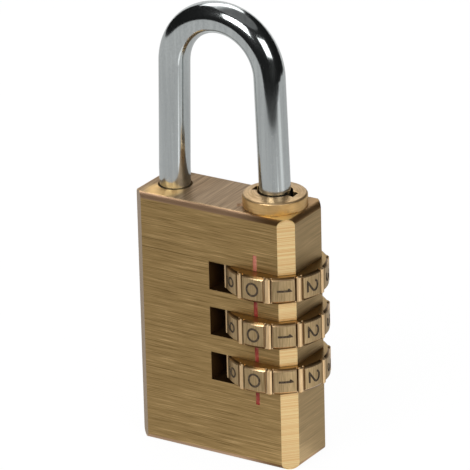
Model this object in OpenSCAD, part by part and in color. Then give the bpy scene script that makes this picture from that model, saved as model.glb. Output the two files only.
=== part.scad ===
// Three-dial combination padlock with a brass body and a steel shackle.
// Millimetres. Origin: middle of the flat underside of the body. +Z up, -Y is the front face.
// Every piece of the lock stem turns or slides on one vertical axis, the heel leg's.

/* [Body] */
// Width of the body, along X
body_w = 30; // [29:0.5:32]
// Thickness of the body, along Y
body_t = 12.3; // [12:0.1:14]
// Height of the body
body_h = 43.6; // [43.6:0.1:46]
// Chamfer along the four upright edges
edge_chamfer = 2.1; // [1:0.1:2.5]
// Rounding along the top and bottom edges
edge_round = 1; // [0.4:0.1:1.2]
// Distance of the lock axis from the middle of the body
axis_x = 8.9; // [8.5:0.1:9.3]
// Radius of the long bore that holds the lock stem
bore_r = 4.85; // [4.8:0.01:4.95]
// Thickness of brass left under the long bore
bore_floor = 4.2; // [3:0.1:5]

/* [Slots] */
// Height of the floor of the top dial slot
top_floor = 29.25; // [29:0.05:29.4]
// Distance from one slot to the next, and also the lift of the shackle
pitch = 7.92; // [7.8:0.01:8]
// Height of each dial slot
slot_h = 4.9; // [4.8:0.1:5.2]
// Place of the flat left wall of the slots
slot_wall_x = -0.15; // [-1:0.05:0.2]

/* [Index line] */
// Place of the painted index line on the front face
index_x = 8.6; // [8:0.1:9.3]
// Width of the index line
index_w = 0.72; // [0.5:0.02:1]
// Length of the index line above the top slot and below the bottom one
index_tail = 2.7; // [1:0.1:3]

/* [Dials] */
// Radius of the number plates
plate_r = 8.4; // [8:0.05:8.45]
// Radius over the grip ribs
rib_crest_r = 8.55; // [8.4:0.05:8.6]
// Radius of a grip rib's own round section
rib_r = 0.56; // [0.4:0.02:0.6]
// Width of the groove between two number plates, at its floor, which holds a rib
plate_gap = 1.36; // [1.2:0.02:1.5]
// Height of a dial
dial_h = 4.45; // [4.3:0.05:4.5]
// Slope on the plates' edges, measured along the radius
plate_bevel = 0.4; // [0.1:0.05:0.5]
// How far the plates stand turned off the index line, within the play of the click
plate_turn = 3; // [0:0.5:6]

/* [Shackle] */
// Diameter of the shackle rod
rod_d = 5.14; // [4.9:0.01:5.2]
// Distance between the two legs where they enter the body
leg_spacing = 19; // [18.8:0.1:20]
// Height of the centre of the round crown
crown_z = 64.8; // [60:0.1:80]
// Angle by which each leg leans in above the body
leg_lean = 1.7; // [1:0.1:3]
// Depth of the toe leg in its hole
toe_depth = 6.4; // [6:0.1:7]

/* [Collar] */
// Radius of the collar's flange
collar_r = 5.3; // [5.2:0.05:5.6]
// Height of the flange's rim above the body
collar_h = 2.1; // [1.5:0.1:2.5]
// Rise of the flange's top from its rim to its bore
collar_crown = 0.3; // [0:0.05:0.4]
// Radius of the collar's bore
collar_bore_r = 2.9; // [2.8:0.05:3]
// Width of its two key slots
key_slot_w = 1.9; // [1.8:0.05:2]
// Reach of the key slots from the axis
key_slot_reach = 3.75; // [3.7:0.05:3.9]
// How far the key slots stand turned from the shackle's plane
key_turn = 3; // [0:1:5]

/* [Hidden] */

$fn = 96;
SLACK = 0.05;          // gap left between pieces that stand on one another
CUT = 1;               // how far a cutter runs past what it cuts
JOIN = 0.1;            // how far a straight stretch of rod runs into a bent one
DIALS = 3;
PLACES = 10;           // numbers on a dial
STEP = 360 / PLACES;

// slots and dials: floor(1) is the top slot, floor(3) the bottom one
function slot_floor(n) = top_floor - (n - 1) * pitch;
dial_lift = slot_h - SLACK - dial_h;
bevel_rise = 1.15 * plate_bevel;
groove_floor_r = plate_r - 0.42;
side_bevel = 0.14;     // slope on the plates' upright edges
rib_end = 0.2;         // slope on a rib's two ends
land_r = 4.49;         // the dial's bore, which runs on its sleeve
notch_r = 4.9;         // bottom of the ten notches in that bore
notch_w = 1;
dimple_r = 5.5;        // circle of the ten click dimples under the dial
dimple_ball_r = 0.6;
dimple_depth = 0.2;

// code sleeves, measured from their slot's floor
sleeve_r = 4.4;
sleeve_foot = -0.65;
sleeve_h = pitch - SLACK;
gate_web = 2;
chamber_r = 4;
stem_hole_r = 2.75;
gate_w = 2;
tooth_r = 4.75;
tooth_w = 0.8;
tooth_foot = 0.45;
tooth_h = 2;
chamber_top = sleeve_foot + sleeve_h - gate_web;

// shackle
rod_r = rod_d / 2;
bent_r = rod_r + 0.005; // the rod swells by a hair where it is bent
toe_x = axis_x - leg_spacing;
crown_x = (axis_x + toe_x) / 2;
bend_z = body_h + 2.6;
bend_r = 40;
half_spacing = leg_spacing / 2;
straight_rise = crown_z - bend_z - bend_r * sin(leg_lean);
crown_r = cos(leg_lean) * (
    half_spacing - bend_r * (1 - cos(leg_lean)) - tan(leg_lean) * straight_rise
);
straight_l = (straight_rise + crown_r * sin(leg_lean)) / cos(leg_lean);
leg_foot = bore_floor + 0.8;
leg_chamfer = 0.6;
fin_reach = 3.6;
fin_t = 1.6;
fin_h = 3;
fin_play = 1;          // free lift of a locked shackle before its fins meet the gate webs
fin_foot = chamber_top - fin_play - fin_h;
fin_bevel = 0.4;
key_reach = 3.6;
key_w = 1.6;
key_h = 2;

// collar, spacer, washer and spring
shank_r = bore_r - SLACK;
collar_foot = slot_floor(1) + fin_foot + fin_h + pitch + 0.11;
collar_bevel = 0.25;
key_foot = collar_foot - 0.2 - key_h;
spacer_inner_r = 4.1;
spacer_foot = slot_floor(1) + sleeve_foot + pitch;
washer_t = 0.8;
washer_foot = slot_floor(DIALS) + sleeve_foot - SLACK - washer_t;
spring_foot = bore_floor + 0.02;
spring_h = washer_foot - 0.02 - spring_foot;
spring_wire_r = 0.4;
spring_coil_r = 3.75;
spring_turns = 6;
spring_steps = 18;
spring_sides = 8;

// toe hole, index line, click washers and staking nick
toe_hole_r = 2.85;
toe_hole_floor = body_h - toe_depth - 0.9;
index_depth = 0.15;
paint_t = 0.1;
click_inner_r = 4.9;
click_outer_r = 6.1;
click_t = 0.2;
click_tail_w = 3;
click_gap = 0.02;
click_ball_r = 0.7;
nick_angle = 212;
nick_size = 0.9;

BRASS = "#b3925a";
SATIN_BRASS = "#c2a06a";
STEEL = "#c9ccd0";
SPRING_STEEL = "#8d9096";
RED = "#a8303a";

// Flat section with round corners, centred on X, from 0 up
module rounded_section(w, h, r) {
    translate([-w / 2 + r, 0]) square([w - 2 * r, h]);
    translate([-w / 2, r]) square([w, h - 2 * r]);
    for (x = [-w / 2 + r, w / 2 - r], y = [r, h - r]) translate([x, y]) circle(r = r);
}

// Plan of the body: a rectangle with its four corners cut off
module body_plan() {
    x = body_w / 2;
    y = body_t / 2;
    c = edge_chamfer;
    polygon([
        [-x + c, -y], [x - c, -y], [x, -y + c], [x, y - c],
        [x - c, y], [-x + c, y], [-x, y - c], [-x, -y + c]
    ]);
}

// Bar cut to length, its top and bottom edges rounded by straight passes along each side
module body_block() {
    long = body_w + 2 * CUT;
    intersection() {
        linear_extrude(height = body_h) body_plan();
        rotate([90, 0, 0])
            translate([0, 0, -long / 2])
                linear_extrude(height = long) rounded_section(body_w, body_h, edge_round);
        rotate([90, 0, 90])
            translate([0, 0, -long / 2])
                linear_extrude(height = long) rounded_section(body_t, body_h, edge_round);
    }
}

// Slot for one dial: open to the front, the right and the back
module dial_slot(n) {
    translate([slot_wall_x, -body_t / 2 - CUT, slot_floor(n)])
        cube([body_w, body_t + 2 * CUT, slot_h]);
}

// Upright stretches of the index line: above the top slot, on both webs, below the bottom slot
function index_spans() = [
    [slot_floor(1) + slot_h, slot_floor(1) + slot_h + index_tail],
    [slot_floor(2) + slot_h, slot_floor(1)],
    [slot_floor(3) + slot_h, slot_floor(2)],
    [slot_floor(3) - index_tail, slot_floor(3)]
];

// Strips along the index line, from a depth behind the front face, t thick
module index_strips(depth, t, over) {
    for (span = index_spans()) {
        translate([index_x - index_w / 2, -body_t / 2 + depth - t, span[0] - over])
            cube([index_w, t, span[1] - span[0] + 2 * over]);
    }
}

// V-shaped punch mark that locks the collar, at its edge on the body's top
module staking_nick() {
    translate([axis_x, 0, body_h])
        rotate([0, 0, nick_angle])
            translate([collar_r - 0.1, 0, 0])
                rotate([45, 0, 0])
                    translate([0, -nick_size / 2, -nick_size / 2])
                        cube([nick_size, nick_size, nick_size]);
}

module body() {
    color(BRASS)
        difference() {
            body_block();
            for (n = [1 : DIALS]) dial_slot(n);
            translate([axis_x, 0, bore_floor]) cylinder(r = bore_r, h = body_h);
            translate([toe_x, 0, toe_hole_floor]) cylinder(r = toe_hole_r, h = body_h);
            index_strips(index_depth, index_depth + CUT, 0);
            staking_nick();
        }
}

module index_paint() {
    color(RED) index_strips(index_depth, paint_t, 0);
}

// Turned bush: crowned flange, shank in the bore, and two key slots that let the ears through
module collar() {
    slot_l = body_h + collar_h + collar_crown - collar_foot + 2 * CUT;
    color(SATIN_BRASS)
        translate([axis_x, 0, 0])
            difference() {
                rotate_extrude()
                    polygon([
                        [collar_bore_r, collar_foot], [shank_r, collar_foot], [shank_r, body_h],
                        [collar_r, body_h], [collar_r, body_h + collar_h - collar_bevel],
                        [collar_r - collar_bevel, body_h + collar_h],
                        [collar_bore_r, body_h + collar_h + collar_crown]
                    ]);
                for (side = [0, 180]) {
                    rotate([0, 0, side + key_turn])
                        translate([0, -key_slot_w / 2, collar_foot - CUT])
                            cube([key_slot_reach, key_slot_w, slot_l]);
                }
            }
}

// Leg below the bend: a straight rod with a chamfered foot
module leg(foot) {
    translate([0, 0, foot]) cylinder(r1 = rod_r - leg_chamfer, r2 = rod_r, h = leg_chamfer);
    translate([0, 0, foot + leg_chamfer])
        cylinder(r = rod_r, h = bend_z + JOIN - foot - leg_chamfer);
}

// Leg above the body on the heel side: a gentle bend inwards, then a straight stretch to the crown
module leaning_leg() {
    translate([axis_x - bend_r, 0, bend_z]) {
        rotate([90, 0, 0])
            rotate_extrude(angle = leg_lean)
                translate([bend_r, 0]) circle(r = bent_r);
        translate([bend_r * cos(leg_lean), 0, bend_r * sin(leg_lean)])
            rotate([0, -leg_lean, 0])
                translate([0, 0, -JOIN]) cylinder(r = rod_r, h = straight_l + 2 * JOIN);
    }
}

module crown() {
    translate([crown_x, 0, crown_z])
        rotate([90, 0, 0])
            rotate([0, 0, leg_lean])
                rotate_extrude(angle = 180 - 2 * leg_lean)
                    translate([crown_r, 0]) circle(r = bent_r);
}

// Fin pinched out of the heel leg towards the toe, which a gate lets through
module fin() {
    translate([0, fin_t / 2, 0])
        rotate([90, 0, 0])
            linear_extrude(height = fin_t)
                polygon([
                    [-1, 0], [-fin_reach + fin_bevel, 0], [-fin_reach, fin_bevel],
                    [-fin_reach, fin_h - fin_bevel], [-fin_reach + fin_bevel, fin_h], [-1, fin_h]
                ]);
}

// Key ear under the collar, which passes its slot as the shackle opens
module key_ear() {
    translate([0, -key_w / 2, 0]) cube([key_reach, key_w, key_h]);
}

module shackle() {
    color(STEEL)
        union() {
            crown();
            leaning_leg();
            translate([2 * crown_x, 0, 0]) mirror([1, 0, 0]) leaning_leg();
            translate([toe_x, 0, 0]) leg(body_h - toe_depth);
            translate([axis_x, 0, 0]) {
                leg(leg_foot);
                for (n = [1 : DIALS]) translate([0, 0, slot_floor(n) + fin_foot]) fin();
                for (side = [0, 180]) {
                    rotate([0, 0, side + key_turn]) translate([0, 0, key_foot]) key_ear();
                }
            }
        }
}

// Ring with bevelled plates, its bore still plain, from 0 up
module plate_ring() {
    rotate_extrude()
        polygon([
            [land_r, 0], [plate_r - plate_bevel, 0], [plate_r, bevel_rise],
            [plate_r, dial_h - bevel_rise], [plate_r - plate_bevel, dial_h], [land_r, dial_h]
        ]);
}

// Section of the groove between two plates, whose upright edges slope off into it
module groove_section() {
    half = plate_gap / 2;
    slope_r = plate_r - side_bevel;
    polygon([
        [groove_floor_r, -half], [slope_r, -half], [slope_r + CUT, -half - CUT],
        [slope_r + CUT, half + CUT], [slope_r, half], [groove_floor_r, half]
    ]);
}

// Half-round rib that stands in the groove between two plates
module grip_rib() {
    translate([rib_crest_r - rib_r, 0, 0]) {
        cylinder(r1 = rib_r - rib_end, r2 = rib_r, h = rib_end);
        translate([0, 0, rib_end]) cylinder(r = rib_r, h = dial_h - 2 * rib_end);
        translate([0, 0, dial_h - rib_end]) cylinder(r1 = rib_r, r2 = rib_r - rib_end, h = rib_end);
    }
}

// Number dial: ten plates with ribs between them outside, ten notches and click dimples inside
module dial(n) {
    color(SATIN_BRASS)
        translate([axis_x, 0, slot_floor(n) + dial_lift]) {
            difference() {
                union() {
                    difference() {
                        plate_ring();
                        for (k = [0 : PLACES - 1]) {
                            rotate([0, 0, -90 + plate_turn + (k + 0.5) * STEP])
                                translate([0, 0, -CUT])
                                    linear_extrude(height = dial_h + 2 * CUT) groove_section();
                        }
                    }
                    for (k = [0 : PLACES - 1]) {
                        rotate([0, 0, -90 + plate_turn + (k + 0.5) * STEP]) grip_rib();
                    }
                }
                for (k = [0 : PLACES - 1]) {
                    rotate([0, 0, k * STEP]) {
                        translate([land_r - 0.5, -notch_w / 2, -CUT])
                            cube([notch_r - land_r + 0.5, notch_w, dial_h + 2 * CUT]);
                        translate([dimple_r, 0, dimple_depth - dimple_ball_r])
                            sphere(r = dimple_ball_r);
                    }
                }
            }
        }
}

// Code sleeve: chamber for a fin, gate web above it, and teeth that key it to its dial
module code_sleeve(n) {
    color(BRASS)
        translate([axis_x, 0, slot_floor(n)])
            difference() {
                union() {
                    translate([0, 0, sleeve_foot]) cylinder(r = sleeve_r, h = sleeve_h);
                    for (k = [0 : PLACES - 1]) {
                        rotate([0, 0, k * STEP])
                            translate([sleeve_r - 0.2, -tooth_w / 2, tooth_foot])
                                cube([tooth_r - sleeve_r + 0.2, tooth_w, tooth_h]);
                    }
                }
                translate([0, 0, sleeve_foot - CUT])
                    cylinder(r = chamber_r, h = chamber_top - sleeve_foot + CUT);
                cylinder(r = stem_hole_r, h = pitch + CUT);
                translate([-chamber_r, -gate_w / 2, 0]) cube([chamber_r, gate_w, pitch + CUT]);
            }
}

// Thin spring washer under a dial, held from turning by its tail, with one bump for the dimples
module click_washer(n) {
    bump_z = dial_lift - click_gap - click_ball_r;
    tail_l = axis_x - slot_wall_x - SLACK;
    color(SPRING_STEEL)
        translate([axis_x, 0, slot_floor(n)])
            difference() {
                union() {
                    cylinder(r = click_outer_r, h = click_t);
                    translate([-tail_l, -click_tail_w / 2, 0])
                        cube([tail_l - click_inner_r, click_tail_w, click_t]);
                    intersection() {
                        translate([-dimple_r, 0, bump_z]) sphere(r = click_ball_r);
                        translate([-dimple_r, 0, click_t / 2]) cylinder(r = click_ball_r, h = 1);
                    }
                }
                translate([0, 0, -CUT]) cylinder(r = click_inner_r, h = click_t + 2 * CUT);
            }
}

// Tube that keeps the sleeves down from the collar and leaves room for the top fin
module spacer_tube() {
    color(BRASS)
        translate([axis_x, 0, spacer_foot])
            difference() {
                cylinder(r = shank_r, h = collar_foot - SLACK - spacer_foot);
                translate([0, 0, -CUT])
                    cylinder(r = spacer_inner_r, h = collar_foot - spacer_foot + 2 * CUT);
            }
}

// Flat washer between the sleeves and their spring
module thrust_washer() {
    color(STEEL)
        translate([axis_x, 0, washer_foot])
            difference() {
                cylinder(r = shank_r - SLACK, h = washer_t);
                translate([0, 0, -CUT]) cylinder(r = stem_hole_r, h = washer_t + 2 * CUT);
            }
}

// Height along the spring at a share of its length: the end turns lie close, the middle ones open
function spring_rise(s) =
    let (wire = 2 * spring_wire_r, t = s * spring_turns, open = spring_turns - 2)
    t < 1 ? wire * t
    : t > spring_turns - 1 ? spring_h - wire - wire * (spring_turns - t)
    : wire + (t - 1) / open * (spring_h - 3 * wire);

// One ring of points round the wire
function spring_ring(s) =
    let (turn = 360 * spring_turns * s, z = spring_wire_r + spring_rise(s))
    [for (k = [0 : spring_sides - 1])
        let (a = 360 * k / spring_sides, r = spring_coil_r + spring_wire_r * cos(a))
        [r * cos(turn), r * sin(turn), z + spring_wire_r * sin(a)]];

// Compression spring that lifts the sleeves back after the code is set
module return_spring() {
    rings = spring_turns * spring_steps;
    m = spring_sides;
    points = [for (i = [0 : rings]) each spring_ring(i / rings)];
    walls = [for (i = [0 : rings - 1], k = [0 : m - 1])
        [i * m + k, i * m + (k + 1) % m, (i + 1) * m + (k + 1) % m, (i + 1) * m + k]];
    first = [for (k = [m - 1 : -1 : 0]) k];
    last = [for (k = [0 : m - 1]) rings * m + k];
    color(SPRING_STEEL)
        translate([axis_x, 0, spring_foot])
            polyhedron(points = points, faces = concat(walls, [first, last]), convexity = 8);
}

body();
index_paint();
collar();
shackle();
dial(1);  // dial_1
dial(2);  // dial_2
dial(3);  // dial_3
code_sleeve(1);  // code_sleeve_1
code_sleeve(2);  // code_sleeve_2
code_sleeve(3);  // code_sleeve_3
click_washer(1);  // click_washer_1
click_washer(2);  // click_washer_2
click_washer(3);  // click_washer_3
spacer_tube();
thrust_washer();
return_spring();
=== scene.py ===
"""A brass three-dial padlock with a chrome-plated shackle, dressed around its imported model.

Blender works in metres. Lengths here are in millimetres, and turned to metres where a mesh is finished.
"""

import math
from functools import partial

import bmesh
import bpy
import numpy as np
from mathutils import Matrix, Vector


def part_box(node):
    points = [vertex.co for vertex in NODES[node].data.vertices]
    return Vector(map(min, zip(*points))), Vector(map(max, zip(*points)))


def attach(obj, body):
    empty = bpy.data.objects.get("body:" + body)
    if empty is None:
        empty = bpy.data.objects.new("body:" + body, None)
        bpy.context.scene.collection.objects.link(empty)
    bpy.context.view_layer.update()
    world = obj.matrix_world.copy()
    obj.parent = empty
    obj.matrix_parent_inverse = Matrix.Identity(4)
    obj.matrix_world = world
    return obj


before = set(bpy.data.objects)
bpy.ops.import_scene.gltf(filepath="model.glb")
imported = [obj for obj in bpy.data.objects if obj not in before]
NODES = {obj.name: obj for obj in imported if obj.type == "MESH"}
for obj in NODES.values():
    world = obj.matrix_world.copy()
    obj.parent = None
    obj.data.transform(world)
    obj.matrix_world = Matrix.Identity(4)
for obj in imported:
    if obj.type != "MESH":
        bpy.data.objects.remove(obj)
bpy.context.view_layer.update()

MM = 0.001
DIALS = ("dial_1", "dial_2", "dial_3")


def box_mm(node):
    """Lowest and highest corner of a node, in millimetres."""
    low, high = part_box(node)
    return Vector(low) / MM, Vector(high) / MM


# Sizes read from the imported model

body_low, body_high = box_mm("body")
collar_low, collar_high = box_mm("collar")
shackle_low, shackle_high = box_mm("shackle")
BODY_TOP = body_high.z
HALF_W = (body_high.x - body_low.x) / 2
HALF_T = (body_high.y - body_low.y) / 2
AXIS_X = (collar_low.x + collar_high.x) / 2
COLLAR_R = (collar_high.x - collar_low.x) / 2
CROWN_X = (shackle_low.x + shackle_high.x) / 2

# Sizes that the model has and its boxes don't tell
ROD_R = 2.57
TOE_X = shackle_low.x + ROD_R
PLACES = 10
PLATE_R = 8.4
FIRST_PLATE = -87.0
RIB_REACH = 0.74

# Wiped ink on the plates, just proud of them
INK_R = PLATE_R + 0.01
INK_T = 0.03
STROKE_W = 0.34


# Nodes

SMOOTH = {"interpolation_type": "SMOOTHSTEP"}
COLOURS = {"data_type": "RGBA"}
TIMES = {"operation": "MULTIPLY"}
WHITE = (1.0, 1.0, 1.0, 1.0)


def srgb(hex_code):
    """Turns a hex colour, as seen on screen, into the linear colour that a shader takes."""
    channels = [int(hex_code[i : i + 2], 16) / 255 for i in (1, 3, 5)]
    linear = [c / 12.92 if c <= 0.04045 else ((c + 0.055) / 1.055) ** 2.4 for c in channels]
    return (*linear, 1.0)


def add_node(tree, kind, *values, named=None, **settings):
    """Adds a node with its settings, and hands back its first live output.

    The values go to its live inputs in order, and the named ones to inputs by name. Each is a number,
    a vector, a colour or another node's output.
    """
    node = tree.nodes.new("ShaderNode" + kind)
    for name, setting in settings.items():
        setattr(node, name, setting)
    live = [socket for socket in node.inputs if socket.enabled]
    by_name = [(node.inputs[name], value) for name, value in (named or {}).items()]
    for socket, value in [*zip(live, values), *by_name]:
        if isinstance(value, bpy.types.NodeSocket):
            tree.links.new(value, socket)
        else:
            socket.default_value = value
    return next((socket for socket in node.outputs if socket.enabled), None)


def new_material(name):
    """An empty material, and the function that adds a node to it."""
    material = bpy.data.materials.new(name)
    material.use_nodes = True
    material.node_tree.nodes.clear()
    return material, partial(add_node, material.node_tree)


def between(add, value, low, high):
    """1 where a number lies between two limits, else 0."""
    over = add("Math", value, low, operation="GREATER_THAN")
    under = add("Math", value, high, operation="LESS_THAN")
    return add("Math", over, under, **TIMES)


def position_mm(add):
    """The point's place on the object in millimetres: as a vector, and as three numbers."""
    coordinates = add("TexCoord").node.outputs
    place = add("VectorMath", coordinates["Object"], 1 / MM, operation="SCALE")
    return place, add("SeparateXYZ", place).node.outputs


def face_direction(add):
    """The surface's own direction on the object: as a vector, and as three numbers."""
    normal = add("TexCoord").node.outputs["Normal"]
    return normal, add("SeparateXYZ", normal).node.outputs


def grain(add, along, across, along_rate, across_rate, detail, seed):
    """Streaks: noise drawn out along one direction. Its rates are waves per millimetre, or per radian."""
    along = add("Math", along, along_rate, **TIMES)
    across = add("Math", across, across_rate, **TIMES)
    return add("TexNoise", add("CombineXYZ", along, across, seed), 1.0, detail, 0.6)


def link(name, mesh, material):
    """Turns a bmesh in metres into an object with one material."""
    data = bpy.data.meshes.new(name)
    mesh.to_mesh(data)
    mesh.free()
    data.materials.append(material)
    piece = bpy.data.objects.new(name, data)
    bpy.context.collection.objects.link(piece)
    return piece


# Camera: found by fitting the body's edges, the dials and the shackle to the photograph

FRAME_PX = 470
SENSOR_MM = 36.0
FOCAL_PX = 4857.0
DISTANCE = 786.194
YAW, TILT, ROLL = (math.radians(angle) for angle in (32.444, 22.128, 1.463))
LOOK_AT = Vector((0.0, 0.0, 35.0))
SIDEWAYS, RAISED = 0.899, 1.412


def direction(heading, elevation):
    """Unit vector. Heading 0 is straight out of the lock's front, and 90 is to its right."""
    h, e = math.radians(heading), math.radians(elevation)
    return Vector((math.sin(h) * math.cos(e), -math.cos(h) * math.cos(e), math.sin(e)))


def make_camera():
    """A long lens from the right of the front, looking down."""
    back = direction(math.degrees(YAW), math.degrees(TILT))
    right = Vector((math.cos(YAW), math.sin(YAW), 0))
    up = back.cross(right)
    rolled_right = right * math.cos(ROLL) - up * math.sin(ROLL)
    rolled_up = right * math.sin(ROLL) + up * math.cos(ROLL)
    place = LOOK_AT + rolled_right * SIDEWAYS + rolled_up * RAISED + back * DISTANCE
    data = bpy.data.cameras.new("camera")
    data.sensor_width = SENSOR_MM
    data.lens = FOCAL_PX * SENSOR_MM / FRAME_PX
    data.clip_start, data.clip_end = 0.01, 20
    camera = bpy.data.objects.new("camera", data)
    turn = Matrix((rolled_right, rolled_up, back)).transposed().to_4x4()
    camera.matrix_world = Matrix.Translation(place * MM) @ turn
    bpy.context.collection.objects.link(camera)
    bpy.context.scene.camera = camera


# Studio: a pale table, a white room, a dark side towards the camera, a grey cloth overhead and soft lamps

ROOM_LEVEL, TABLE_LEVEL = 0.75, 0.55
# a painted pool of light on the table, a brighter strip: its heading, its core and reach in degrees, its
# level
STRIP_HEADING, STRIP_SPREAD, STRIP_LEVEL = 90.0, (3.0, 18.0), 0.5
# a narrow one before the dials' corner: its heading, its core and reach in millimetres, its level,
# and how it rises from the corner and ends: from where, to where, and between which shares
GLINT_HEADING, GLINT_SPREAD, GLINT_LEVEL = 57.6, (4.0, 12.0), 1.1
GLINT_START, GLINT_END = (-10.0, 90.0, 0.2, 1.0), (110.0, 140.0, 1.0, 0.0)
# the part of the table's look that is its own plain light, beside the lock's soft shadow
TABLE_SHARE = 0.95
# how far the table reaches by heading
TABLE_EDGE = (
    (-130, 1000), (-95, 944), (-45, 754), (-30, 470), (-20, 265), (0, 223), (25, 205), (50, 205),
    (80, 246), (120, 374), (172, 374), (200, 1000),
)
# the dark side of the room: heading, and the elevations of its lower and upper edge
FLAG_EDGE = (
    (-122, -40, 38), (-110, -40, 49), (-94, -40, 58), (-70, -40, 62), (10, -40, 62), (60, -40, 60),
    (110, -40, 58), (150, -40, 55), (162, 0, 55), (175, 10, 55), (195, 16, 50),
)
FLAG_R, FLAG_ROWS, FLAG_SHADE = 1500.0, 24, 0.012
SCRIM_HEIGHT, SCRIM_R = 1400.0, 1250.0
# the cloth pales off towards its left: where that starts and ends, and its shade there
SCRIM_LEFT, SCRIM_FADE, SCRIM_SHADES = (-1.0, 0.3, 0.0), (350.0, 1000.0), (0.17, 1.1)
# soft lamps: heading, elevation, width and height in degrees of the lock's view, and brightness
LAMP_DISTANCE = 900.0
LAMPS = {
    "front_softbox": (-4, 41, 30, 24, 7.4),
    "right_softbox": (67.5, 30.5, 33, 26, 2.7),
    "back_softbox": (-140, 50, 46, 20, 2.0),
}


def make_room():
    """White all round to the eye, at a plain level on what it lights."""
    world = bpy.data.worlds.new("white_room")
    bpy.context.scene.world = world
    world.use_nodes = True
    world.node_tree.nodes.clear()
    add = partial(add_node, world.node_tree)
    rays = add("LightPath").node.outputs
    white = add("Math", rays["Is Camera Ray"], rays["Is Transmission Ray"], operation="MAXIMUM")
    add("OutputWorld", add("Background", WHITE, add("Mix", white, ROOM_LEVEL, 1.0)))


def seen_directly(add):
    """1 for rays from the camera and for what metal and glass show of the room, else 0."""
    rays = add("LightPath").node.outputs
    either = add("Math", rays["Is Camera Ray"], rays["Is Glossy Ray"], operation="MAXIMUM")
    return add("Math", either, rays["Is Transmission Ray"], operation="MAXIMUM")


def table_glow(add):
    """The table's level as metal shows it: plain, but for a painted pool of light in the wide strip and a
    painted glint in the narrow one.
    """
    place, (x, y, _) = position_mm(add)
    heading = add("Math", x, add("Math", y, -1.0, **TIMES), operation="ARCTAN2")
    off = add("Math", heading, math.radians(STRIP_HEADING), operation="SUBTRACT")
    core, reach = (math.radians(angle) for angle in STRIP_SPREAD)
    off = add("Math", off, operation="ABSOLUTE")
    strip = add("MapRange", off, core, reach, STRIP_LEVEL, 0.0, **SMOOTH)
    from_corner = add("VectorMath", place, (HALF_W, -HALF_T, 0.0), operation="SUBTRACT")
    out = add("VectorMath", from_corner, direction(GLINT_HEADING, 0), operation="DOT_PRODUCT")
    off = add("VectorMath", from_corner, direction(GLINT_HEADING + 90, 0), operation="DOT_PRODUCT")
    off = add("Math", off, operation="ABSOLUTE")
    glint = add("MapRange", off, *GLINT_SPREAD, GLINT_LEVEL, 0.0, **SMOOTH)
    glint = add("Math", glint, add("MapRange", out, *GLINT_START, **SMOOTH), **TIMES)
    glint = add("Math", glint, add("MapRange", out, *GLINT_END, **SMOOTH), **TIMES)
    brighter = add("Math", strip, glint, operation="MAXIMUM")
    return add("Math", TABLE_LEVEL, brighter, operation="ADD")


def make_table():
    """Pale table top: white to the camera, and it keeps a soft shadow under the lock."""
    material, add = new_material("white_laminate")
    matt = add("BsdfDiffuse", srgb("#f4f4f4"))
    camera_ray = add("LightPath").node.outputs["Is Camera Ray"]
    glow = add("Emission", WHITE, add("Mix", camera_ray, table_glow(add), 1.0))
    share = add("Math", seen_directly(add), TABLE_SHARE, **TIMES)
    add("OutputMaterial", add("MixShader", share, matt, glow))
    mesh = bmesh.new()
    mesh.faces.new([mesh.verts.new(direction(heading, 0) * reach * MM) for heading, reach in TABLE_EDGE])
    link("table", mesh, material)


def stage_card(name, mesh, material):
    """Card out of the picture, which metal shows but the camera doesn't."""
    card = link(name, mesh, material)
    card.visible_camera = False
    card.visible_diffuse = False
    card.visible_shadow = False


def make_flag():
    """Curved dark card round the lock."""
    material, add = new_material("black_flag_cloth")
    add("OutputMaterial", add("Emission", WHITE, FLAG_SHADE))
    headings, lows, highs = zip(*FLAG_EDGE)
    spread = headings[-1] - headings[0]
    mesh = bmesh.new()
    bmesh.ops.create_grid(mesh, x_segments=spread, y_segments=FLAG_ROWS, size=0.5)
    for vert in mesh.verts:
        heading = headings[0] + (vert.co.x + 0.5) * spread
        low, high = np.interp(heading, headings, lows), np.interp(heading, headings, highs)
        vert.co = direction(heading, low + (high - low) * (vert.co.y + 0.5)) * FLAG_R * MM
    stage_card("black_flag", mesh, material)


def make_scrim():
    """Grey cloth overhead, lit at its left."""
    material, add = new_material("overhead_scrim_cloth")
    place, _ = position_mm(add)
    leftward = add("VectorMath", place, SCRIM_LEFT, operation="DOT_PRODUCT")
    level = add("MapRange", leftward, *SCRIM_FADE, *SCRIM_SHADES, **SMOOTH)
    add("OutputMaterial", add("Emission", WHITE, level))
    mesh = bmesh.new()
    bmesh.ops.create_circle(mesh, cap_ends=True, segments=64, radius=SCRIM_R * MM)
    bmesh.ops.translate(mesh, verts=mesh.verts, vec=(0, 0, SCRIM_HEIGHT * MM))
    stage_card("overhead_scrim", mesh, material)


def make_softbox(name, heading, elevation, width, height, level):
    """Rectangular lamp that faces the lock."""
    data = bpy.data.lights.new(name, "AREA")
    data.shape = "RECTANGLE"
    data.size = 2 * LAMP_DISTANCE * math.tan(math.radians(width / 2)) * MM
    data.size_y = 2 * LAMP_DISTANCE * math.tan(math.radians(height / 2)) * MM
    data.energy = level * math.pi * data.size * data.size_y
    lamp = bpy.data.objects.new(name, data)
    towards = direction(heading, elevation)
    place = Matrix.Translation((towards * LAMP_DISTANCE + LOOK_AT) * MM)
    lamp.matrix_world = place @ towards.to_track_quat("Z", "Y").to_matrix().to_4x4()
    bpy.context.collection.objects.link(lamp)


def make_studio():
    make_room()
    make_table()
    make_flag()
    make_scrim()
    for name, shape in LAMPS.items():
        make_softbox(name, *shape)


# Bare metal: what all the brass and steel share

# how broadly deep scratches scatter
SCRATCHED = 0.72


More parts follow.
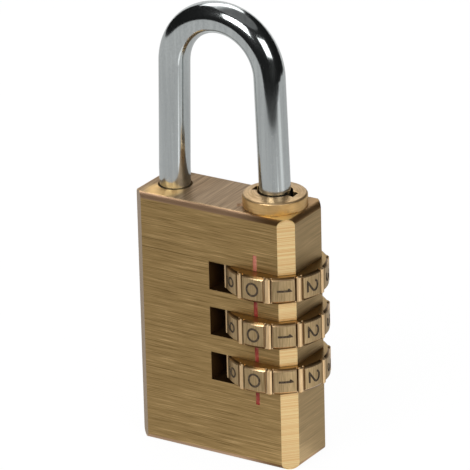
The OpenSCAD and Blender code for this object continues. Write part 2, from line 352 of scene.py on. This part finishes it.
def metal(add, colour, rough, relief, relief_mm, wide=None, **extra):
    """Bare metal with a fine relief. The wide share of it scatters broadly, as scratched metal does."""
    bump = add("Bump", named={"Height": relief, "Distance": relief_mm * MM, "Strength": 1.0})
    common = {"Base Color": colour, "Metallic": 1.0, "Normal": bump}
    narrow = add("BsdfPrincipled", named={**common, "Roughness": rough, **extra})
    if wide is None:
        return narrow
    return add("MixShader", wide, narrow, add("BsdfPrincipled", named={**common, "Roughness": SCRATCHED}))


# Body: brass ground with a belt

# the slots' and bores' insides lie at least this deep under the faces, and this far from the ends
INSIDE_DEPTH, INSIDE_END = 0.12, 1.1
# how far the upright corners are cut back along x and y together, and a little more
CORNER_CUT = 2.3
# golden light before the toe leg's foot, which is a tint of the brass here: its place, core and reach
FOOT_GLOW, FOOT_GLOW_SPREAD = (TOE_X, -3.2, 0.0), (2.0, 4.0)


def body_surfaces(add, x):
    """Shares of the kinds of surface: flat ends, sides, rounded rims, chamfers, and rims above a chamfer.

    A direction's part is 1 where the surface looks straight along that axis.
    """
    _, parts = face_direction(add)
    sideways, forwards, upright = (add("Math", part, operation="ABSOLUTE") for part in parts)
    flat = add("MapRange", upright, 0.9, 0.995, **SMOOTH)
    side = add("MapRange", sideways, 0.8, 0.95, **SMOOTH)
    front = add("MapRange", forwards, 0.8, 0.95, **SMOOTH)
    tilted = add("MapRange", upright, 0.04, 0.2, **SMOOTH)
    rim = add("Math", tilted, add("Math", 1.0, flat, operation="SUBTRACT"), **TIMES)
    upturned = add("MapRange", upright, 0.3, 0.6, **SMOOTH)
    others = add("Math", add("Math", side, front, operation="MAXIMUM"), upturned, operation="MAXIMUM")
    chamfer = add("Math", 1.0, others, operation="SUBTRACT", use_clamp=True)
    heading = add("VectorMath", add("CombineXYZ", sideways, forwards), operation="NORMALIZE")
    head_x, head_y, _ = add("SeparateXYZ", heading).node.outputs
    slanted = add("MapRange", add("Math", head_x, head_y, **TIMES), 0.2, 0.42, **SMOOTH)
    near_end = add("MapRange", add("Math", x, operation="ABSOLUTE"), 10.0, 12.0, 0.0, 0.85, **SMOOTH)
    return flat, side, rim, chamfer, add("Math", slanted, near_end, **TIMES)


def belt_streaks(add, x, y, z):
    """The belt's scratches: round the sides, from front to back on the ends, and a few deep ones."""
    # real ones are 0.05 mm apart, and these 0.16 to 0.6 mm, so that they show
    round_sides = add("Math", x, y, operation="ADD")
    fine = grain(add, round_sides, z, 0.16, 6.2, 3.0, 1.0)
    coarse = grain(add, round_sides, z, 0.05, 2.2, 4.0, 7.0)
    end_fine = grain(add, y, x, 0.12, 4.5, 3.0, 3.0)
    end_coarse = grain(add, y, x, 0.05, 1.6, 4.0, 9.0)
    deep = grain(add, round_sides, z, 0.02, 2.6, 2.0, 21.0)
    deep_share = add("MapRange", deep, 0.66, 0.74, 0.0, 0.6, **SMOOTH)
    return add("Mix", 0.4, fine, coarse), add("Mix", 0.5, end_fine, end_coarse), deep_share


def end_colour(add, x, y, streaks):
    """Colour of the top and the underside: rosy, with painted golden light towards the dials' corner and
    before the toe leg.
    """
    share = add("MapRange", streaks, 0.36, 0.64, **SMOOTH)
    colour = add("Mix", share, srgb("#8e7658"), srgb("#c4a886"), **COLOURS)
    # painted golden light towards the right end, stronger by the dials' corner
    colour = add("Mix", add("MapRange", x, 11.0, 13.5, **SMOOTH), colour, srgb("#d0ac7c"), **COLOURS)
    towards_corner = add("Math", x, y, operation="SUBTRACT")
    share = add("MapRange", towards_corner, 13.4, 15.6, **SMOOTH)
    colour = add("Mix", share, colour, srgb("#f4dea0"), **COLOURS)
    # painted golden light before the toe leg's foot
    away = add("VectorMath", add("CombineXYZ", x, y), FOOT_GLOW, operation="DISTANCE")
    share = add("MapRange", away, *FOOT_GLOW_SPREAD, 1.0, 0.0, **SMOOTH)
    return add("Mix", share, colour, srgb("#fcd898"), **COLOURS)


def chamfer_colour(add, x, ripples):
    """Colour of the milled chamfers: bright with fine ripples, partly a painted highlight, and painted
    duller at the lock's left as painted shade.
    """
    share = add("MapRange", ripples, 0.34, 0.66, **SMOOTH)
    bright = add("Mix", share, srgb("#f0c284"), srgb("#ffe8b0"), **COLOURS)
    share = add("MapRange", ripples, 0.3, 0.7, **SMOOTH)
    # painted shade: the chamfer at the lock's left is painted duller
    dull = add("Mix", share, srgb("#b69e80"), srgb("#ceb494"), **COLOURS)
    return add("Mix", add("MapRange", x, -10.0, -9.0, **SMOOTH), dull, bright, **COLOURS)


def rim_colour(add, x, corner):
    """Colour of the rounded rims: rosy, painted browner towards the dials as painted shade, a little
    lighter at the right end, and a painted golden highlight above the chamfers.
    """
    share = add("MapRange", x, 3.0, 12.5, **SMOOTH)
    colour = add("Mix", share, srgb("#d0ac8a"), srgb("#7e5e3a"), **COLOURS)
    colour = add("Mix", add("MapRange", x, 13.6, 14.6, **SMOOTH), colour, srgb("#b08a5c"), **COLOURS)
    return add("Mix", corner, colour, srgb("#f6cc84"), **COLOURS)


def inside_share(add, x, y, z):
    """1 inside the slots and bores, else 0."""
    from_middle = [add("Math", part, operation="ABSOLUTE") for part in (x, y)]
    depths = [
        add("Math", distance, half - INSIDE_DEPTH, operation="LESS_THAN")
        for distance, half in zip(from_middle, (HALF_W, HALF_T))
    ]
    both = add("Math", *from_middle, operation="ADD")
    within_corners = add("Math", both, HALF_W + HALF_T - CORNER_CUT, operation="LESS_THAN")
    depth = add("Math", *depths, **TIMES)
    within_ends = between(add, z, INSIDE_END, BODY_TOP - INSIDE_END)
    return add("Math", depth, add("Math", within_corners, within_ends, **TIMES), **TIMES)


def belt_ground_brass():
    """Solid brass ground with a belt: streaks round its sides, milled edges bright with painted highlight,
    slots painted dark as painted shade.
    """
    material, add = new_material("belt_ground_brass")
    _, (x, y, z) = position_mm(add)
    flat, side, rim, chamfer, corner = body_surfaces(add, x)
    side_streaks, end_streaks, deep = belt_streaks(add, x, y, z)
    streaks = add("Mix", flat, side_streaks, end_streaks)
    # the cutter's marks on the chamfers, 0.12 mm apart and 0.8 mm long
    ripples = grain(add, add("Math", x, y, operation="SUBTRACT"), z, 1.3, 8.5, 3.0, 5.0)
    inside = inside_share(add, x, y, z)

    share = add("MapRange", streaks, 0.34, 0.5, **SMOOTH)
    colour = add("Mix", share, srgb("#9c8050"), srgb("#c6a56e"), **COLOURS)
    colour = add("Mix", add("MapRange", streaks, 0.5, 0.67, **SMOOTH), colour, srgb("#eecc92"), **COLOURS)
    colour = add("Mix", deep, colour, srgb("#76603a"), **COLOURS)
    # painted light: the left and right faces are painted lighter
    colour = add("Mix", add("Math", side, 0.5, **TIMES), colour, srgb("#dcc296"), **COLOURS)
    colour = add("Mix", flat, colour, end_colour(add, x, y, end_streaks), **COLOURS)
    colour = add("Mix", chamfer, colour, chamfer_colour(add, x, ripples), **COLOURS)
    colour = add("Mix", rim, colour, rim_colour(add, x, corner), **COLOURS)
    # painted shade: the slots and bores are painted dark inside
    colour = add("Mix", inside, colour, srgb("#6c5030"), **COLOURS)

    rough = add("MapRange", streaks, 0.3, 0.7, 0.42, 0.34, **SMOOTH)
    rough = add("Mix", flat, add("Mix", rim, rough, 0.3), 0.32)
    # the top is worn dull at its two ends
    left_end = add("MapRange", x, -7.0, -2.0, 1.0, 0.0, **SMOOTH)
    worn = add("Math", left_end, add("MapRange", x, 10.0, 12.5, **SMOOTH), operation="MAXIMUM")
    top_wide = add("MapRange", worn, 0.0, 1.0, 0.3, 0.65, **SMOOTH)
    wide = add("Mix", flat, add("Mix", inside, 0.3, 0.9), top_wide)
    relief = add("Mix", chamfer, streaks, ripples)
    across = add("CombineXYZ", flat, 0.0, add("Math", 1.0, flat, operation="SUBTRACT"))
    add("OutputMaterial", metal(add, colour, rough, relief, 0.012, wide, Anisotropic=0.9, Tangent=across))
    return material


# Dials: brass with ground plates, polished ribs, and grooves painted dark as painted shade


def ground_dial_brass():
    """Number dial: plates with fine upright streaks, which shine less than the ribs between them."""
    material, add = new_material("ground_dial_brass")
    _, (x, y, z) = position_mm(add)
    out_x = add("Math", x, AXIS_X, operation="SUBTRACT")
    spoke = add("CombineXYZ", out_x, y)
    radius = add("VectorMath", spoke, operation="LENGTH")
    turn = add("Math", y, out_x, operation="ARCTAN2")
    # brushed lines about 0.05 mm apart, drawn 0.23 mm apart so that they show
    fine = grain(add, z, add("Math", turn, PLATE_R, **TIMES), 0.35, 4.4, 4.0, 2.0)

    # where the point lies between two ribs, and which way it looks
    step = 2 * math.pi / PLACES
    first_rib = math.radians(FIRST_PLATE) + step / 2
    places = add("Math", add("Math", turn, first_rib, operation="SUBTRACT"), step, operation="DIVIDE")
    from_rib = add("Math", add("Math", places, 0.5, operation="PINGPONG"), step * PLATE_R, **TIMES)
    normal, (_, _, nz) = face_direction(add)
    upright = add("Math", nz, operation="ABSOLUTE")
    outward = add("VectorMath", spoke, operation="NORMALIZE")
    outward = add("VectorMath", normal, outward, operation="DOT_PRODUCT")
    off_ribs = add("Math", from_rib, RIB_REACH, operation="GREATER_THAN")
    plate = add("Math", add("Math", outward, 0.985, operation="GREATER_THAN"), off_ribs, **TIMES)
    # painted shade: the grooves beside the ribs, and the ribs' sides, are painted dark
    turned_aside = add("Math", outward, 0.7, operation="LESS_THAN")
    groove = add("Math", turned_aside, add("Math", upright, 0.2, operation="LESS_THAN"), **TIMES)
    # the slope above a plate is painted darker, as painted shade, but for its lowest edge
    high_up = add("MapRange", radius, 8.16, 8.34, 1.0, 0.0, **SMOOTH)
    slope = add("Math", between(add, upright, 0.2, 0.9), high_up, **TIMES)
    sawn = add("Math", upright, 0.9, operation="GREATER_THAN")

    share = add("MapRange", fine, 0.3, 0.7, **SMOOTH)
    ground = add("Mix", share, srgb("#ac9268"), srgb("#d4b88c"), **COLOURS)
    polished = add("Mix", share, srgb("#eac490"), srgb("#fcdcae"), **COLOURS)
    polished = add("Mix", add("Math", groove, 0.8, **TIMES), polished, srgb("#6e5636"), **COLOURS)
    colour = add("Mix", plate, polished, ground, **COLOURS)
    colour = add("Mix", slope, colour, srgb("#8a6a42"), **COLOURS)
    colour = add("Mix", sawn, colour, srgb("#b0925e"), **COLOURS)
    rough = add("Mix", plate, 0.28, 0.38)
    add("OutputMaterial", metal(add, colour, rough, fine, 0.006, 0.15))
    return material


# Collar, sleeves and tube: brass turned on a lathe

# the notches' walls lie at least this far inside the collar's rim
NOTCH_DEPTH = 0.6


def turned_brass(name, dark, light):
    """Brass turned on a lathe: fine rings on the top and round the side, painted lighter on the side as
    painted light, with painted shade in the key notches.
    """
    material, add = new_material(name)
    _, (x, y, z) = position_mm(add)
    out_x = add("Math", x, AXIS_X, operation="SUBTRACT")
    radius = add("VectorMath", add("CombineXYZ", out_x, y), operation="LENGTH")
    turn = add("Math", y, out_x, operation="ARCTAN2")
    # turning marks about 0.05 mm apart, drawn 0.22 mm apart so that they show, and clouds of 2 mm
    rings = grain(add, turn, add("Math", radius, z, operation="ADD"), 1.2, 4.5, 4.0, 2.0)
    clouds = grain(add, x, add("Math", y, z, operation="ADD"), 0.5, 0.5, 3.0, 5.0)
    share = add("MapRange", add("Mix", 0.4, rings, clouds), 0.36, 0.62, **SMOOTH)
    colour = add("Mix", share, srgb(dark), srgb(light), **COLOURS)
    _, (_, _, nz) = face_direction(add)
    # painted light: the side is painted lighter and golden
    wall = add("Math", nz, 0.5, operation="LESS_THAN")
    colour = add("Mix", add("Math", wall, 0.6, **TIMES), colour, srgb("#f6cc84"), **COLOURS)
    # painted shade: the key notches' walls are painted dark
    steep = add("Math", add("Math", nz, operation="ABSOLUTE"), 0.3, operation="LESS_THAN")
    notch = add("Math", radius, COLLAR_R - NOTCH_DEPTH, operation="LESS_THAN")
    notch_shade = add("Math", add("Math", steep, notch, **TIMES), 0.85, **TIMES)
    colour = add("Mix", notch_shade, colour, srgb("#2c1e10"), **COLOURS)
    add("OutputMaterial", metal(add, colour, 0.32, rings, 0.004, 0.5))
    return material


# Shackle: chrome-plated steel rod

# the heights over which the drawn legs turn into the bent crown
LEGS_END = (60.0, 67.0)
# the bend shows a little way down the heel leg: heights where it starts and ends, and how far it leans
FIRST_LEAN, SECOND_LEAN, LEAN_END = (53.0, 63.0, 0.0, 0.058), (61.0, 66.5, 0.0, 0.14), (66.0, 68.5)
MIRROR, HAZE = 0.13, 0.42


def leaning_normal(add, x, z):
    """The surface's direction, tilted a little where the heel leg runs into the crown."""
    normal = add("NewGeometry").node.outputs["Normal"]
    nx, _, _ = add("SeparateXYZ", normal).node.outputs
    flank = add("Math", nx, add("Math", 1.0, nx, operation="SUBTRACT"), **TIMES)
    flank = add("Math", flank, 0.0, operation="MAXIMUM")
    flank = add("Math", flank, add("MapRange", nx, -0.1, 0.45, 0.0, 4.0, **SMOOTH), **TIMES)
    flank = add("Math", flank, add("Math", x, CROWN_X, operation="GREATER_THAN"), **TIMES)
    first, second = (add("MapRange", z, *lean, **SMOOTH) for lean in (FIRST_LEAN, SECOND_LEAN))
    end = add("MapRange", z, *LEAN_END, 1.0, 0.0, **SMOOTH)
    lean = add("Math", add("Math", first, second, operation="ADD"), end, **TIMES)
    tilt = add("Math", flank, lean, **TIMES)
    bent = add("VectorMath", normal, add("CombineXYZ", 0.0, 0.0, tilt), operation="ADD")
    return add("VectorMath", bent, operation="NORMALIZE")


def bright_chrome_plate():
    """Bright plating on a drawn steel rod: a mirror with a faint haze, and draw lines along the legs."""
    material, add = new_material("bright_chrome_plate")
    place, (x, y, z) = position_mm(add)
    # draw lines 0.7 mm apart and 20 mm long, and specks of 0.4 mm
    aside = add("Math", x, add("Math", y, 0.7, **TIMES), operation="ADD")
    draw_lines = grain(add, z, aside, 0.05, 1.4, 3.0, 4.0)
    speck = add("TexNoise", place, 2.4, 4.0, 0.7)
    share = add("MapRange", add("Mix", 0.5, draw_lines, speck), 0.35, 0.65, **SMOOTH)
    common = {
        "Base Color": add("Mix", share, srgb("#c0c5c5"), srgb("#d2d7d6"), **COLOURS),
        "Metallic": 1.0,
        "Normal": leaning_normal(add, x, z),
    }
    mirror = add("BsdfPrincipled", named={**common, "Roughness": MIRROR})
    haze = add("BsdfPrincipled", named={**common, "Roughness": HAZE})
    legs = add("MapRange", z, *LEGS_END, 1.0, 0.0, **SMOOTH)
    less_on_crown = add("MapRange", legs, 0.0, 1.0, 0.12, 1.0, **SMOOTH)
    hazy = add("MapRange", speck, 0.3, 0.7, 0.1, 0.26, **SMOOTH)
    hazy = add("Math", hazy, less_on_crown, **TIMES)
    add("OutputMaterial", add("MixShader", hazy, mirror, haze))
    return material


# Washers, spring, paint and ink


def oiled_spring_steel():
    """Oiled spring steel: plain dark grey metal with faint stains of about 1 mm."""
    material, add = new_material("oiled_spring_steel")
    _, (x, y, _) = position_mm(add)
    stain = grain(add, x, y, 1.0, 1.0, 4.0, 8.0)
    share = add("MapRange", stain, 0.3, 0.7, **SMOOTH)
    colour = add("Mix", share, srgb("#5d5f63"), srgb("#7d7f84"), **COLOURS)
    add("OutputMaterial", metal(add, colour, 0.35, stain, 0.003))
    return material


def wiped_red_enamel():
    """Thin enamel wiped into the index grooves, dull red, worn in patches of 1 mm, pale in the top one."""
    material, add = new_material("wiped_red_enamel")
    _, (x, _, z) = position_mm(add)
    worn = add("MapRange", grain(add, x, z, 1.5, 0.9, 4.0, 6.0), 0.45, 0.7, 0.0, 0.5, **SMOOTH)
    rubbed = add("Math", worn, add("MapRange", z, 33.0, 34.5, 0.0, 0.5, **SMOOTH), operation="ADD")
    colour = add("Mix", rubbed, srgb("#7c241c"), srgb("#b87c66"), **COLOURS)
    paint = {"Base Color": colour, "Roughness": 0.55, "Specular IOR Level": 0.25}
    add("OutputMaterial", add("BsdfPrincipled", named=paint))
    return material


def wiped_black_enamel():
    """Black enamel wiped into the numbers, dull and a little uneven, in patches of half a millimetre."""
    material, add = new_material("wiped_black_enamel")
    _, (x, y, z) = position_mm(add)
    worn = grain(add, add("Math", x, y, operation="ADD"), z, 2.0, 2.0, 4.0, 6.0)
    share = add("MapRange", worn, 0.35, 0.75, **SMOOTH)
    colour = add("Mix", share, srgb("#2e2418"), srgb("#564837"), **COLOURS)
    ink = {"Base Color": colour, "Roughness": 0.7, "Specular IOR Level": 0.2}
    add("OutputMaterial", add("BsdfPrincipled", named=ink))
    return material


# Numbers: strokes in a number's own frame, in millimetres, its right along X and its top along Y


def arc(centre_x, centre_y, radius_x, radius_y, start, stop, steps=24):
    """Points along a round stretch, from one angle to another in degrees."""
    angles = [math.radians(start + (stop - start) * i / steps) for i in range(steps + 1)]
    return [(centre_x + radius_x * math.cos(a), centre_y + radius_y * math.sin(a)) for a in angles]


def number_strokes(number):
    """Centre lines of one number's strokes."""
    six = [arc(0, -0.42, 0.72, 0.68, 0, 360), arc(0.62, -0.42, 1.34, 1.52, 180, 94)]
    shapes = {
        0: [arc(0, 0, 1.06, 0.98, 0, 360)],
        1: [[(-0.36, 0.74), (0.0, 1.12), (0.0, -1.12)]],
        2: [arc(0, 0.4, 0.86, 0.66, 165, -38) + [(-0.86, -1.06), (0.88, -1.06)]],
        3: [arc(0, 0.54, 0.66, 0.56, 150, -90) + arc(0, -0.52, 0.76, 0.6, 90, -145)],
        4: [[(0.36, -1.12), (0.36, 1.12), (-0.86, -0.42), (0.86, -0.42)]],
        5: [[(0.68, 1.12), (-0.5, 1.12), (-0.62, 0.14)] + arc(-0.02, -0.4, 0.74, 0.7, 130, -145)],
        6: six,
        7: [[(-0.76, 1.12), (0.8, 1.12), (-0.18, -1.12)]],
        8: [arc(0, 0.56, 0.6, 0.54, 0, 360), arc(0, -0.5, 0.74, 0.62, 0, 360)],
        9: [[(-x, -y) for x, y in stroke] for stroke in six],
    }
    return shapes[number]


def finely(points, step=0.14):
    """Adds points along a line of points, at most a step apart."""
    fine = [points[0]]
    for one, two in zip(points, points[1:]):
        parts = max(1, math.ceil(math.dist(one, two) / step))
        fine += [tuple(a + (b - a) * k / parts for a, b in zip(one, two)) for k in range(1, parts + 1)]
    return fine


def half_width(before, here, after):
    """From the middle of the stroke to its left edge, with a bend's mitre."""
    one, two = Vector(here) - Vector(before), Vector(after) - Vector(here)
    one = one.normalized() if one.length else two.normalized()
    two = two.normalized() if two.length else one
    middle = (one + two).normalized()
    return Vector((-middle.y, middle.x)) * STROKE_W / 2 / max(middle.dot(one), 0.5)


def ribbon(mesh, points, place):
    """Flat stroke of even width along a line of points, each point set on the object by place()."""
    last = len(points) - 1
    closed = math.dist(points[0], points[-1]) < 1e-6
    before_first, after_last = (points[-2], points[1]) if closed else (points[0], points[-1])
    around = [before_first, *points, after_last]
    band = bmesh.ops.create_grid(mesh, x_segments=last, y_segments=1, size=0.5)["verts"]
    for vert in band:
        i = round((vert.co.x + 0.5) * last)
        side = half_width(*around[i : i + 3])
        at = Vector(points[i]) + (side if vert.co.y > 0 else -side)
        vert.co = place(at.x, at.y)


def on_plate(facing, middle, own_x, own_y):
    """A number's point, set on the dial, its top turned towards the next number round."""
    angle = facing + own_y / PLATE_R
    return Vector((AXIS_X + INK_R * math.cos(angle), INK_R * math.sin(angle), middle - own_x)) * MM


def dial_numbers(dial, material):
    """The ten numbers of one dial."""
    low, high = box_mm(dial)
    middle = (low.z + high.z) / 2
    mesh = bmesh.new()
    for number in range(PLACES):
        facing = math.radians(FIRST_PLATE + number * 360 / PLACES)
        for stroke in number_strokes(number):
            ribbon(mesh, finely(stroke), partial(on_plate, facing, middle))
    bmesh.ops.remove_doubles(mesh, verts=mesh.verts, dist=1e-7)
    piece = link(f"{dial}_numbers", mesh, material)
    wall = piece.modifiers.new("thickness", "SOLIDIFY")
    wall.thickness = INK_T * MM
    wall.offset = 1.0
    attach(piece, dial)


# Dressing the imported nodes

WELD_GAP = 0.0005
SHARP_ANGLE = 28


def dress_node(node, material):
    """Gives a CAD node its finish."""
    piece = NODES[node]
    piece.data.materials.clear()
    piece.data.materials.append(material)


def ease_edges(node, width):
    """Breaks a machined piece's sharp edges, so that they catch the light."""
    piece = NODES[node]
    weld = piece.modifiers.new("joined", "WELD")
    weld.merge_threshold = WELD_GAP * MM
    bevel = piece.modifiers.new("broken_edges", "BEVEL")
    bevel.width = width * MM
    bevel.segments = 2
    bevel.limit_method = "ANGLE"
    bevel.angle_limit = math.radians(SHARP_ANGLE)
    piece.modifiers.new("level_faces", "WEIGHTED_NORMAL")


def dress_nodes():
    dial_brass = ground_dial_brass()
    sleeve_brass = turned_brass("machined_brass", "#94703c", "#c9a664")
    steel = oiled_spring_steel()
    ink = wiped_black_enamel()
    dress_node("body", belt_ground_brass())
    dress_node("collar", turned_brass("turned_brass", "#c0a074", "#e2c498"))
    dress_node("shackle", bright_chrome_plate())
    dress_node("index_paint", wiped_red_enamel())
    dress_node("spacer_tube", sleeve_brass)
    dress_node("thrust_washer", steel)
    dress_node("return_spring", steel)
    for number, dial in enumerate(DIALS, 1):
        dress_node(dial, dial_brass)
        dress_node(f"code_sleeve_{number}", sleeve_brass)
        dress_node(f"click_washer_{number}", steel)
        dial_numbers(dial, ink)
    ease_edges("body", 0.08)
    ease_edges("collar", 0.1)


bpy.context.scene.view_settings.view_transform = "Standard"
make_camera()
make_studio()
dress_nodes()
